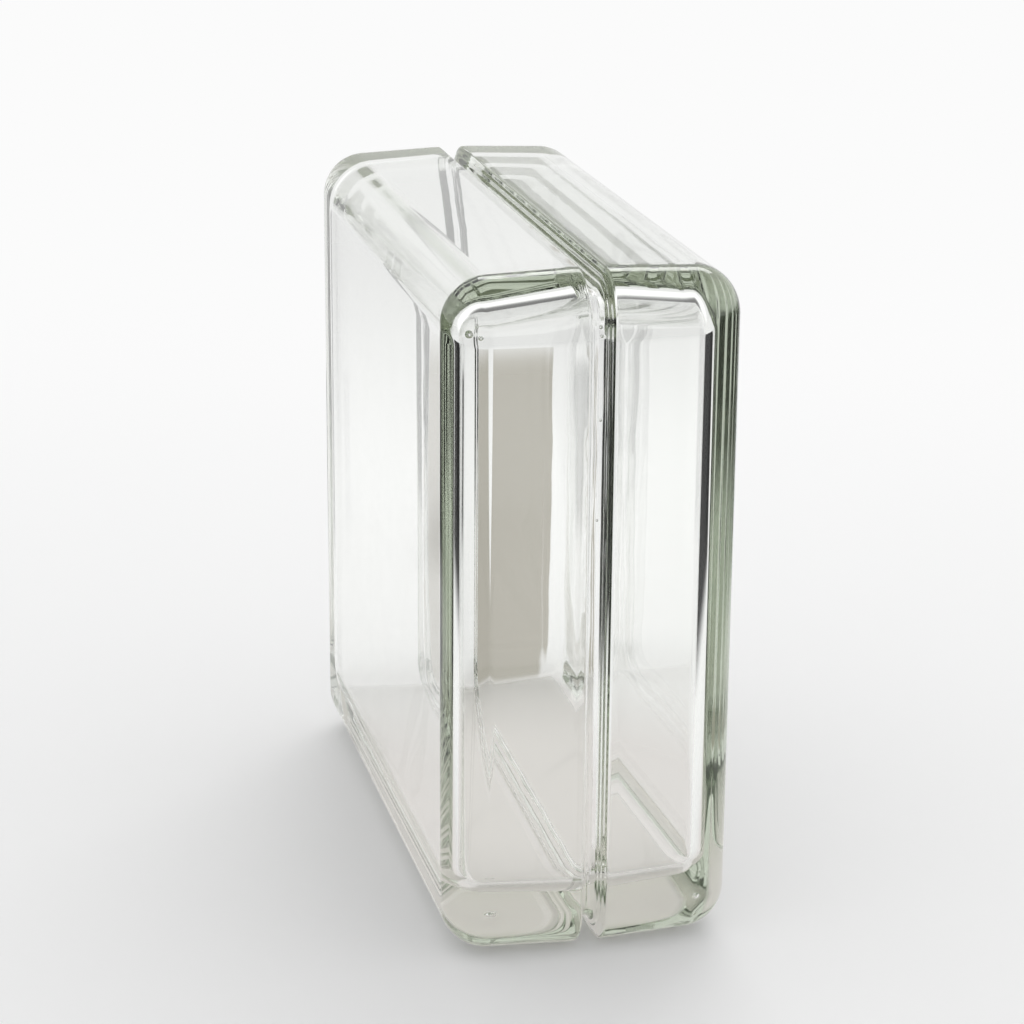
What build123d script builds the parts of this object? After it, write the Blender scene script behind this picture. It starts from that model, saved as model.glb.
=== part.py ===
from build123d import *
from math import radians, tan
import os

# Hollow glass block, two pressed half shells fused rim to rim.
# Frame: X is the thickness with the fused seam at X = 0, Y is the depth, Z is up.
# The origin is at the middle of the narrow side that the block stands on.

# Overall sizes, millimetres
block_side = 190.0          # height and depth of the square
block_thickness = 80.0      # over the two big faces

# Outer form of a half
corner_radius = 14.0        # corners of the square, at the widest point
land_draft = 2.3            # degrees, the narrow sides close in towards the face

# Groove round the four narrow sides, over the seam
groove_width = 6.6          # between the two land edges
groove_depth = 7.2          # from the land down to the seam
groove_floor_width = 3.0    # where the steep walls end
groove_floor_rise = 1.2     # from the end of the steep walls down to the seam
land_seat_width = 2.6       # level strip beside the groove
land_edge_radius = 0.8      # edge between groove wall and level strip

# Hollow inside
face_wall = 7.8             # glass behind the big face
side_wall = 9.7             # glass behind the two upright narrow sides, at the seam
top_wall = 9.4              # glass over the hollow, at the seam
floor_wall = 14.5           # glass under the hollow, at the seam
cavity_edge_radius = 5.5    # from the side walls into the face wall
cavity_draft = 4.5          # degrees, the hollow closes in towards the face

half_thickness = block_thickness / 2
wall_start = groove_width / 2
draft_start = wall_start + land_seat_width
throat = groove_floor_width / 2

# From the big face into the narrow sides, as round as the corners allow
face_inset = (half_thickness - draft_start) * tan(radians(land_draft))
face_edge_radius = corner_radius - face_inset - 0.1

# Hollow of a half
cavity_depth = half_thickness - face_wall
cavity_width = block_side - 2 * side_wall
cavity_height = block_side - top_wall - floor_wall
cavity_inset = cavity_depth * tan(radians(cavity_draft))
cavity_corner_radius = cavity_edge_radius + cavity_inset + 0.3


def outline(distance, inset, radius):
    """Rounded square across the block, at a distance from the seam."""
    side = block_side - 2 * inset
    place = Plane(
        origin=(-distance, 0, block_side / 2),
        x_dir=(0, 1, 0),
        z_dir=(-1, 0, 0),
    )
    return place * RectangleRounded(side, side, radius)


def rim_edges(solid, distance):
    """Edges that run round the solid in the plane at this distance."""
    box = solid.edges().filter_by(
        lambda e: abs(e.bounding_box().min.X + distance) < 0.01
        and abs(e.bounding_box().max.X + distance) < 0.01
    )
    return box


# Rim: the seam face, the groove floor and the steep groove wall
seam_outline = outline(0, groove_depth, corner_radius - groove_depth)
throat_inset = groove_depth - groove_floor_rise
throat_outline = outline(throat, throat_inset, corner_radius - throat_inset)
land_outline = outline(wall_start, 0, corner_radius)
rim_root = loft([seam_outline, throat_outline], ruled=True)
rim_wall = loft([throat_outline, land_outline], ruled=True)

# Land: a level strip to stand on, then the drafted side up to the face
strip = extrude(land_outline, amount=land_seat_width)
drafted_side = extrude(
    outline(draft_start, 0, corner_radius),
    amount=half_thickness - draft_start,
    taper=land_draft,
)
outer = rim_root + rim_wall + strip + drafted_side
outer = fillet(rim_edges(outer, half_thickness), face_edge_radius)
outer = fillet(rim_edges(outer, wall_start), land_edge_radius)

# Hollow, open at the seam
cavity_place = Plane(
    origin=(0, 0, floor_wall + cavity_height / 2),
    x_dir=(0, 1, 0),
    z_dir=(-1, 0, 0),
)
cavity_outline = cavity_place * RectangleRounded(cavity_width, cavity_height, cavity_corner_radius)
hollow = extrude(cavity_outline, amount=cavity_depth, taper=cavity_draft)
hollow = fillet(rim_edges(hollow, cavity_depth), cavity_edge_radius)

left_half = outer - hollow
right_half = mirror(left_half, about=Plane.YZ)

os.makedirs("parts", exist_ok=True)
for name, half in (("left_half", left_half), ("right_half", right_half)):
    half.label = name
    export_step(half, f"parts/{name}.step")
    print(name, "volume", round(half.volume), "mm3")
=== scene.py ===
from math import pi, radians, tan

import bmesh
import bpy
from mathutils import Matrix, Vector, noise


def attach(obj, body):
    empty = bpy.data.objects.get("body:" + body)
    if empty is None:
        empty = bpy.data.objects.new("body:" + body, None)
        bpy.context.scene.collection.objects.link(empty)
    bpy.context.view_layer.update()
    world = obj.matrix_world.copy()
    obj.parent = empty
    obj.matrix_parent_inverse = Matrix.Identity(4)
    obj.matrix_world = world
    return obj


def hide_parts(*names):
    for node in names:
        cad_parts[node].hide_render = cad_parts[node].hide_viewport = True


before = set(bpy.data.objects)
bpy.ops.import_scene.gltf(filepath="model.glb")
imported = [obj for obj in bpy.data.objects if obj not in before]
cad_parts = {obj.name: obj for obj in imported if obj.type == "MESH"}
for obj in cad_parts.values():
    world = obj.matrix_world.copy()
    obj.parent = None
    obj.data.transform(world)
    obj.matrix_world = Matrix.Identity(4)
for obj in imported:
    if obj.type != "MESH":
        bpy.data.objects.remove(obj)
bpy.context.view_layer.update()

print("packed model loaded")


# shader maths: a socket with operators, and one call for every other node
class Wire:
    def __init__(self, tree, socket):
        self.tree = tree
        self.socket = socket

    def math(self, operation, first, second):
        return addNode(self.tree, "ShaderNodeMath", {"operation": operation}, {0: first, 1: second})

    def __add__(self, other):
        return self.math("ADD", self, other)

    __radd__ = __add__

    def __mul__(self, other):
        return self.math("MULTIPLY", self, other)

    __rmul__ = __mul__

    def __sub__(self, other):
        return self.math("SUBTRACT", self, other)

    def __rsub__(self, other):
        return self.math("SUBTRACT", other, self)

    def __truediv__(self, other):
        return self.math("DIVIDE", self, other)

    def __rtruediv__(self, other):
        return self.math("DIVIDE", other, self)

    def atan2(self, other):
        return self.math("ARCTAN2", self, other)

    def clamp(self):
        return addNode(self.tree, "ShaderNodeClamp", values={"Value": self})

    def ramp(self, low, high, outLow=0.0, outHigh=1.0):
        return addNode(
            self.tree, "ShaderNodeMapRange", {"interpolation_type": "SMOOTHSTEP"},
            {"Value": self, "From Min": low, "From Max": high, "To Min": outLow, "To Max": outHigh},
        )


# makes a node: its settings first, then the values or links of its sockets
def addNode(tree, kind, settings=None, values=None, output=0):
    node = tree.nodes.new(kind)
    for name, value in (settings or {}).items():
        setattr(node, name, value)
    for key, value in (values or {}).items():
        socket = node.inputs[key]
        if isinstance(value, Wire):
            tree.links.new(value.socket, socket)
        else:
            socket.default_value = value
    return Wire(tree, node.outputs[output])


def lightPath(tree, output):
    return addNode(tree, "ShaderNodeLightPath", output=output)


def joinTo(wire, socket):
    wire.tree.links.new(wire.socket, socket)


# the block stands on a narrow side, with its fused seam in the plane x = 0; metres
block = {
    "side": 0.190,
    "thickness": 0.080,
    "corner": 0.014,            # corners of the square at the land
    "faceEdge": 0.0125,         # big face into narrow side
    "landDraft": 2.3,           # degrees
    "grooveWidth": 0.0066,
    "grooveDepth": 0.0072,
    "throatWidth": 0.0030,
    "floorRise": 0.0012,
    "seatWidth": 0.0026,
    "landEdge": 0.0008,
    "faceWall": 0.0078,
    "sideWall": 0.0097,         # near and far narrow walls, at the seam
    "topWall": 0.0094,
    "floorWall": 0.0145,
    "hollowCorner": 0.0100,
    "hollowEdge": 0.0055,
    "hollowDraft": 4.5,         # degrees
    "beadHeight": 0.0007,       # melted glass along the seam, inside the hollow
    "beadWidth": 0.0032,
    "beadShoulder": 0.7,        # share of its height, half way down its side
    "beadFoot": 0.0001,         # its height where it runs out
    "beadRounds": (0.001, 0.0015),      # radii at shoulder and foot
    "rootHeight": 0.0004,       # melted glass in the bottom of the groove
    "rootWidth": 0.0014,
    "rootRounds": (0.0003, 0.0002),
    "throatRound": 0.0006,
    # ribs on the groove wall: share of the way up from the throat, and bulge
    "ribs": ((0.16, 0.00016), (0.30, -0.00012), (0.44, 0.00014), (0.60, -0.00010), (0.76, 0.00010)),
    "ribRound": 0.0012,
    "cornerSteps": 20,
    "cell": 0.0032,             # length of a mesh cell along the sides
}

# unevenness left by the press and by the fusing, in metres
ripple = {
    "face": 0.00005,
    "faceReach": (0.030, 0.090),    # across and upwards
    "faceSeed": 3.0,
    "hollow": 0.00006,
    "hollowReach": (0.026, 0.090),
    "hollowSeed": 11.0,
    "calmReach": 0.004,             # the level strip beside the groove stays flat
    "bead": 0.0004,
    "beadShift": 0.0005,
    "beadReach": 0.009,
    "rootReach": 0.75,              # of the throat's width
}

# places and radii of the bubbles, most of them in the near wall, in metres
bubbles = (
    (-0.0333, -0.0882, 0.1755, 0.0010),
    (-0.0302, -0.0872, 0.1743, 0.0006),
    (0.0014, -0.0871, 0.1751, 0.0006),
    (0.0019, -0.0870, 0.1727, 0.0005),
    (0.0018, -0.0871, 0.1502, 0.0004),
    (0.0012, -0.0870, 0.1228, 0.0004),
    (0.0300, -0.0868, 0.0125, 0.0008),
    (-0.0240, -0.0700, 0.0080, 0.0007),
)


# lays the section as a wire of (distance from seam, inset) points and rounds its corners
def layProfile(bm, points, rounds, outerZ, axisY):
    verts = [bm.verts.new((-x, axisY, outerZ - inset)) for x, inset in points]
    for first, second in zip(verts, verts[1:]):
        bm.edges.new((first, second))
    for index, (radius, segments) in rounds.items():
        vert = verts[index]
        a, b = [edge.other_vert(vert).co - vert.co for edge in vert.link_edges]
        turn = pi - a.angle(b)
        bmesh.ops.bevel(
            bm, geom=[vert], affect="VERTICES", offset_type="OFFSET",
            offset=radius * tan(turn / 2), segments=segments, profile=0.5, material=-1,
        )


# sweeps edges in a straight line
def runWire(bm, edges, move, steps):
    for step in range(steps):
        swept = bmesh.ops.extrude_edge_only(bm, edges=edges)["geom"]
        newVerts = [g for g in swept if isinstance(g, bmesh.types.BMVert)]
        bmesh.ops.translate(bm, verts=newVerts, vec=move / steps)
        edges = [g for g in swept if isinstance(g, bmesh.types.BMEdge)]


# one closed skin of the block, from its section on the left half; lift is the height of its middle
def makeSkin(points, rounds, cornerInset, halfY, halfZ, lift, inside):
    mergeGap = 1e-5
    onLine = 1e-6
    reachY = halfY - cornerInset
    reachZ = halfZ - cornerInset
    stepsY = round(reachY / block["cell"])
    stepsZ = round(reachZ / block["cell"])
    bm = bmesh.new()
    layProfile(bm, points, rounds, halfZ, reachY)
    bm.edges.ensure_lookup_table()
    wire = list(bm.edges)
    wireVerts = list(bm.verts)
    spun = bmesh.ops.spin(
        bm, geom=wireVerts + wire, cent=(0, reachY, reachZ), axis=(1, 0, 0), dvec=(0, 0, 0),
        angle=-pi / 2, steps=block["cornerSteps"], use_merge=False, use_duplicate=False,
    )
    endWire = [g for g in spun["geom_last"] if isinstance(g, bmesh.types.BMEdge)]
    runWire(bm, endWire, Vector((0, 0, -reachZ)), stepsZ)
    before = set(bm.edges)
    runWire(bm, wire, Vector((0, -reachY, 0)), stepsY)

    # the flat middle of the big face, from the edge that the last sweep left
    deepest = min(v.co.x for v in bm.verts)
    inner = [
        e for e in bm.edges
        if e not in before
        and all(abs(v.co.x - deepest) < onLine and abs(v.co.z - reachZ) < onLine for v in e.verts)
    ]
    runWire(bm, inner, Vector((0, 0, -reachZ)), stepsZ)
    bmesh.ops.remove_doubles(bm, verts=bm.verts, dist=mergeGap)
    for axis in ("X", "Y", "Z"):
        quarter = bm.verts[:] + bm.edges[:] + bm.faces[:]
        bmesh.ops.mirror(bm, geom=quarter, merge_dist=mergeGap, axis=axis)
        bmesh.ops.remove_doubles(bm, verts=bm.verts, dist=mergeGap)
    bmesh.ops.dissolve_degenerate(bm, edges=bm.edges, dist=1e-7)
    bmesh.ops.recalc_face_normals(bm, faces=bm.faces)
    if inside:
        bmesh.ops.reverse_faces(bm, faces=bm.faces)
    bmesh.ops.translate(bm, verts=bm.verts, vec=(0, 0, lift))
    return bm


# moves the skin a little along its normals, and the melted seam more
# inwards is for the outer skin, which stays inside the solids' box
def unsettle(bm, push, reach, seamReach, seamPush, seamShift, inwards, seed):
    bm.normal_update()
    bead = ripple["beadReach"]
    slower = 1.7    # how much longer the sideways drift is than the lumps
    for vert in bm.verts:
        x, y, z = vert.co
        fromSeat = abs(x) - block["grooveWidth"] / 2 - block["seatWidth"]
        calm = min(1.0, max(0.0, fromSeat / ripple["calmReach"]))
        wave = noise.noise(Vector((x / reach[0], y / reach[0], z / reach[1] + seed)))
        melted = max(0.0, 1 - abs(x) / seamReach)
        lumps = noise.noise(Vector((seed, y / bead, z / bead)))
        drift = noise.noise(Vector((seed + 9, y / bead / slower, z / bead / slower)))
        if inwards:
            wave = -0.5 - 0.5 * wave    # from 0 to -1
        vert.co += vert.normal * (calm * push * wave + melted * seamPush * lumps)
        vert.co.x += melted * seamShift * drift


# bubbles in the glass: round hollows with the skin turned inwards
def addBubbles(bm):
    for x, y, z, radius in bubbles:
        place = Matrix.Translation((x, y, z))
        made = bmesh.ops.create_icosphere(bm, subdivisions=3, radius=radius, matrix=place)
        shell = {face for vert in made["verts"] for face in vert.link_faces}
        bmesh.ops.reverse_faces(bm, faces=list(shell))


def makeOuterSkin(half, halfThickness):
    b = block
    wallStart = b["grooveWidth"] / 2
    draftStart = wallStart + b["seatWidth"]
    faceInset = (halfThickness - draftStart) * tan(radians(b["landDraft"]))
    throatX = b["throatWidth"] / 2
    throatInset = b["grooveDepth"] - b["floorRise"]
    floorSlope = b["floorRise"] / (b["throatWidth"] / 2)
    rootInset = b["grooveDepth"] - b["rootHeight"]
    wallPoints = [(throatX, throatInset)]
    for share, bulge in b["ribs"]:
        wallPoints.append((throatX + share * (wallStart - throatX) + bulge, throatInset * (1 - share)))
    points = [
        (0, rootInset),
        (b["rootWidth"] / 4, rootInset),
        (b["rootWidth"] / 2, b["grooveDepth"] - floorSlope * b["rootWidth"] / 2),
        *wallPoints,
        (wallStart, 0),
        (draftStart, 0),
        (halfThickness, faceInset),
        (halfThickness, b["corner"]),
    ]
    landIndex = 3 + len(wallPoints)
    # radius and number of segments at each point that is rounded
    rounds = {
        1: (b["rootRounds"][0], 2),
        2: (b["rootRounds"][1], 2),
        3: (b["throatRound"], 3),
        landIndex: (b["landEdge"], 5),
        landIndex + 2: (b["faceEdge"], 18),
    }
    for index in range(4, landIndex):
        rounds[index] = (b["ribRound"], 2)
    skin = makeSkin(points, rounds, b["corner"], half, half, half, False)
    unsettle(
        skin, ripple["face"], ripple["faceReach"], b["throatWidth"] * ripple["rootReach"],
        ripple["bead"], ripple["beadShift"] / 2, True, ripple["faceSeed"],
    )
    return skin


def makeHollowSkin(half, halfThickness):
    b = block
    depth = halfThickness - b["faceWall"]
    inset = depth * tan(radians(b["hollowDraft"]))
    halfY = half - b["sideWall"]
    halfZ = half - (b["topWall"] + b["floorWall"]) / 2
    lift = half + (b["floorWall"] - b["topWall"]) / 2
    points = [
        (0, b["beadHeight"]),
        (b["beadWidth"] / 4, b["beadHeight"] * b["beadShoulder"]),
        (b["beadWidth"] / 2, b["beadFoot"]),
        (b["beadWidth"], b["beadWidth"] * inset / depth),
        (depth, inset),
        (depth, b["hollowCorner"]),
    ]
    rounds = {
        1: (b["beadRounds"][0], 3),
        2: (b["beadRounds"][1], 3),
        4: (b["hollowEdge"], 14),
    }
    skin = makeSkin(points, rounds, b["hollowCorner"], halfY, halfZ, lift, True)
    unsettle(
        skin, ripple["hollow"], ripple["hollowReach"], b["beadWidth"],
        ripple["bead"], ripple["beadShift"], False, ripple["hollowSeed"],
    )
    return skin


def makeBlock():
    half = block["side"] / 2
    halfThickness = block["thickness"] / 2
    outer = makeOuterSkin(half, halfThickness)
    inner = makeHollowSkin(half, halfThickness)
    mesh = bpy.data.meshes.new("glassBody")
    innerMesh = bpy.data.meshes.new("hollowSkin")
    inner.to_mesh(innerMesh)
    outer.from_mesh(innerMesh)
    addBubbles(outer)
    outer.to_mesh(mesh)
    inner.free()
    outer.free()
    bpy.data.meshes.remove(innerMesh)
    mesh.shade_smooth()
    piece = bpy.data.objects.new("glassBody", mesh)
    bpy.context.scene.collection.objects.link(piece)
    return piece


glassBody = makeBlock()
weighted = glassBody.modifiers.new("weighted", "WEIGHTED_NORMAL")
weighted.mode = "FACE_AREA"
weighted.weight = 50
print("glass body", len(glassBody.data.polygons), "faces")


pressedGlass = {
    "ior": 1.52,
    "tint": (0.67, 0.72, 0.62, 1),
    "depth": 10.0,              # density of the tint
    "smearScale": 40.0,
    "smearFrom": (0.45, 0.75),  # of the noise, from clean to smeared
    "smearRough": 0.004,        # roughness of the smears
    "waveScale": 22.0,
    "waveStrength": 0.04,
    "waveHeight": 0.0001,
    "groundRise": (0.0013, 0.0026),     # the lands are ground up to this height
    "groundRough": 0.55,
    "groundShare": 0.85,
    "groundColour": (0.97, 0.96, 0.93, 1),
}


# nearly clear, with faint smears and waves, and ground where the block stands
def makeGlass():
    g = pressedGlass
    glass = bpy.data.materials.new("clearPressedGlass")
    glass.use_nodes = True
    tree = glass.node_tree
    result = tree.nodes["Material Output"]
    shader = tree.nodes["Principled BSDF"]
    shader.inputs["Base Color"].default_value = (1, 1, 1, 1)
    shader.inputs["IOR"].default_value = g["ior"]
    shader.inputs["Transmission Weight"].default_value = 1.0

    place = addNode(tree, "ShaderNodeTexCoord", output="Object")
    rise = addNode(tree, "ShaderNodeSeparateXYZ", values={0: place}, output="Z")
    smear = addNode(
        tree, "ShaderNodeTexNoise",
        values={"Vector": place, "Scale": g["smearScale"], "Detail": 4.0},
    )
    smeared = smear.ramp(*g["smearFrom"], 0.0, g["smearRough"])
    ground = rise.ramp(*g["groundRise"], g["groundRough"], 0.0)
    joinTo(smeared + ground, shader.inputs["Roughness"])
    wavy = addNode(
        tree, "ShaderNodeTexNoise",
        values={"Vector": place, "Scale": g["waveScale"], "Detail": 0.0},
    )
    bump = addNode(
        tree, "ShaderNodeBump",
        values={"Strength": g["waveStrength"], "Distance": g["waveHeight"], "Height": wavy},
    )
    joinTo(bump, shader.inputs["Normal"])

    # the lands are ground, so there the light comes through scattered
    share = rise.ramp(*g["groundRise"], g["groundShare"], 0.0)
    clear = Wire(tree, shader.outputs["BSDF"])
    matte = addNode(tree, "ShaderNodeBsdfTranslucent", values={"Color": g["groundColour"]})
    mixed = addNode(tree, "ShaderNodeMixShader", values={0: share, 1: clear, 2: matte})
    joinTo(mixed, result.inputs["Surface"])
    absorb = addNode(
        tree, "ShaderNodeVolumeAbsorption",
        values={"Color": g["tint"], "Density": g["depth"]},
    )
    joinTo(absorb, result.inputs["Volume"])
    return glass


glassBody.data.materials.append(makeGlass())
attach(glassBody, "root")
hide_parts("left_half", "right_half")
print("glass set")


# the floor is pale to the camera; the rest is what clear glass needs round it to show its edges
floorPaper = {
    "reach": 4.0,
    "tone": 0.92,
    "roughness": 0.6,
    "shine": 0.2,
    "farTone": 0.965,               # what is seen of the floor beyond the fade
    "glassShade": 0.11,             # how much darker the glass shows it
    "fade": (0.30, 0.80),
    "discEdge": (0.23, 0.32),       # beyond it the sides of the room are dark
    "leftFrom": (111, 118),         # directions on the floor, in degrees from x
    "leftTo": (-100, -85),
    "rightFrom": (-66, -58),
    "rightTo": (34, 42),
    "barFrom": (88, 91),            # a narrow dark bar behind
    "barTo": (98, 100),
    "barReach": (0.5, 0.55),
    "sideDark": 0.03,
    "underGlow": 0.80,              # painted glow: the floor under the block emits this, standing in for light that comes back from it
    "underColour": (1, 0.96, 0.95, 1),
    "underReach": (0.03, 0.13),
    "paintedShadeColour": (0.50, 0.475, 0.42, 1),
    "stripTip": (-0.1975, -0.7915),     # below the camera; the strip of painted shade widens away from here
    "stripTurn": 0.2494,
    "stripLeft": (-0.0285, -0.0245),
    "stripRight": (0.0040, 0.0062),
    "stripLean": 0.006,
    "stripNear": (0.085, 0.10),
    "stripFar": (0.50, 0.60),
}


def makeFloorMaterial():
    f = floorPaper
    material = bpy.data.materials.new("floorPaper")
    material.use_nodes = True
    tree = material.node_tree
    paperShader = tree.nodes["Principled BSDF"]
    paperShader.inputs["Base Color"].default_value = (f["tone"], f["tone"], f["tone"], 1)
    paperShader.inputs["Roughness"].default_value = f["roughness"]
    paperShader.inputs["Specular IOR Level"].default_value = f["shine"]
    paper = Wire(tree, paperShader.outputs["BSDF"])
    place = addNode(tree, "ShaderNodeTexCoord", output="Object")
    away = addNode(tree, "ShaderNodeVectorMath", {"operation": "LENGTH"}, {0: place}, output="Value")
    across = addNode(tree, "ShaderNodeSeparateXYZ", values={0: place}, output="X")
    along = addNode(tree, "ShaderNodeSeparateXYZ", values={0: place}, output="Y")

    # kinds of ray: through or off the glass, and of those the ones that met no rough surface yet
    passing = lightPath(tree, "Is Glossy Ray") + lightPath(tree, "Is Transmission Ray")
    throughGlass = (passing - lightPath(tree, "Diffuse Depth")).clamp()
    reflected = lightPath(tree, "Glossy Depth").clamp()
    seen = (lightPath(tree, "Is Camera Ray") + passing).clamp()

    # dark sides of the room beyond the disc, shown only after a reflection in the glass
    turn = along.atan2(across) * (180 / pi)
    leftSide = turn.ramp(*f["leftFrom"]) + turn.ramp(*f["leftTo"], 1, 0)
    rightSide = turn.ramp(*f["rightFrom"]) * turn.ramp(*f["rightTo"], 1, 0)
    bar = turn.ramp(*f["barFrom"]) * turn.ramp(*f["barTo"], 1, 0) * away.ramp(*f["barReach"], 1, 0)
    sides = (leftSide + rightSide + bar) * reflected * away.ramp(*f["discEdge"])

    # painted shadow: a warm grey strip on the floor behind the block, where the block's shadow from a
    # light near the camera would fall, seen only through the glass
    tipX, tipY = f["stripTip"]
    off = (across - tipX) / (along - tipY) - f["stripTurn"]
    strip = off.ramp(*f["stripLeft"]) * (off - f["stripLean"] * along).ramp(*f["stripRight"], 1, 0)
    strip = strip * along.ramp(*f["stripNear"]) * along.ramp(*f["stripFar"], 1, 0)

    def emit(colour, strength):
        return addNode(tree, "ShaderNodeEmission", values={"Color": colour, "Strength": strength})

    # each layer lies over the ones before it: share, then what it shows
    farColour = (f["farTone"],) * 3 + (1,)
    layers = (
        (away.ramp(*f["fade"]) * seen, emit(farColour, 1 - f["glassShade"] * throughGlass)),
        # painted glow from the floor under the block, seen off and through the glass
        (away.ramp(*f["underReach"], 1, 0) * passing, emit(f["underColour"], f["underGlow"])),
        (sides * throughGlass, emit((1, 1, 1, 1), f["sideDark"])),
        # painted shadow behind the block, seen only through the glass
        (strip * throughGlass, emit(f["paintedShadeColour"], 1.0)),
    )
    lit = paper
    for share, layer in layers:
        lit = addNode(tree, "ShaderNodeMixShader", values={0: share, 1: lit, 2: layer})
    joinTo(lit, tree.nodes["Material Output"].inputs["Surface"])
    return material


floorMesh = bpy.data.meshes.new("floor")
bm = bmesh.new()
bmesh.ops.create_grid(bm, x_segments=1, y_segments=1, size=floorPaper["reach"])
bm.to_mesh(floorMesh)
bm.free()
floorMesh.materials.append(makeFloorMaterial())
floor = bpy.data.objects.new("floor", floorMesh)
bpy.context.scene.collection.objects.link(floor)


room = {
    "seen": 0.97,               # to the camera
    "skyLow": 0.94,             # to the glass
    "skyHigh": 0.2,
    "skyFade": (0.72, 0.90),    # heights here are the upward part of the direction
    "front": (-0.24, -0.97, 0.0),
    "frontDark": 0.7,
    "frontReach": (0.35, 0.75),
    "back": (0.24, 0.97, 0.0),
    "backReach": (0.1, 0.4),
    "canopy": 0.35,             # brighter cloth behind and above
    "canopyFrom": (0.45, 0.55),
    "canopyTo": (0.76, 0.86),
    "ambient": 0.85,            # to the floor
    "passedOn": 0.15,           # more for what comes to it through the glass
}


def makeRoom():
    r = room
    world = bpy.data.worlds.new("studio")
    bpy.context.scene.world = world
    world.use_nodes = True
    tree = world.node_tree
    direction = addNode(tree, "ShaderNodeTexCoord", output="Generated")
    height = addNode(tree, "ShaderNodeSeparateXYZ", values={0: direction}, output="Z")

    def towards(way):
        settings = {"operation": "DOT_PRODUCT"}
        return addNode(tree, "ShaderNodeVectorMath", settings, {0: direction, 1: way}, output="Value")

    canopy = height.ramp(*r["canopyFrom"]) * height.ramp(*r["canopyTo"], 1, 0)
    canopy = canopy * towards(r["back"]).ramp(*r["backReach"])
    sky = height.ramp(*r["skyFade"], r["skyLow"], r["skyHigh"])
    sky = sky * towards(r["front"]).ramp(*r["frontReach"], 1.0, r["frontDark"])
    isCamera = lightPath(tree, "Is Camera Ray")
    bounced = lightPath(tree, "Diffuse Depth").clamp()
    passed = lightPath(tree, "Transmission Depth").clamp()
    level = isCamera * r["seen"] + bounced * (r["ambient"] + r["passedOn"] * passed)
    level = level + (1 - isCamera - bounced) * (sky + canopy * r["canopy"])
    background = tree.nodes["Background"]
    background.inputs["Color"].default_value = (1, 1, 1, 1)
    joinTo(level, background.inputs["Strength"])


makeRoom()

topBox = {
    "size": (1.4, 0.5),
    "power": 9.0,
    "place": (0.61, 1.37, 1.61),
    "aim": (0, 0, 0.1),
}
boxData = bpy.data.lights.new("topBox", "AREA")
boxData.shape = "RECTANGLE"
boxData.size, boxData.size_y = topBox["size"]
boxData.energy = topBox["power"]
box = bpy.data.objects.new("topBox", boxData)
bpy.context.scene.collection.objects.link(box)
box.visible_transmission = False    # not seen through the glass
boxPlace = Vector(topBox["place"])
boxTurn = (boxPlace - Vector(topBox["aim"])).to_track_quat("Z", "Y").to_matrix().to_4x4()
box.matrix_world = Matrix.Translation(boxPlace) @ boxTurn
print("floor, room and lamp set")

view = {
    "azimuth": 13.989,          # degrees
    "elevation": 18.03,
    "roll": 0.424,
    "place": (-0.19746, -0.79149, 0.36292),
    "focalPixels": 2931.5,
    "imagePixels": 1024,
    "sensor": 36,               # millimetres
}
cameraData = bpy.data.cameras.new("camera")
cameraData.sensor_width = view["sensor"]
cameraData.lens = view["sensor"] * view["focalPixels"] / view["imagePixels"]
cameraData.clip_end = 50
camera = bpy.data.objects.new("camera", cameraData)
bpy.context.scene.collection.objects.link(camera)
camera.matrix_world = (
    Matrix.Translation(view["place"])
    @ Matrix.Rotation(-radians(view["azimuth"]), 4, "Z")
    @ Matrix.Rotation(radians(90 - view["elevation"]), 4, "X")
    @ Matrix.Rotation(radians(view["roll"]), 4, "Z")
)
bpy.context.scene.camera = camera
bpy.context.scene.view_settings.view_transform = "Standard"

# light crosses the glass many times before it leaves
cycles = bpy.context.scene.cycles
cycles.max_bounces = cycles.transmission_bounces = cycles.glossy_bounces = 24
print("camera set")
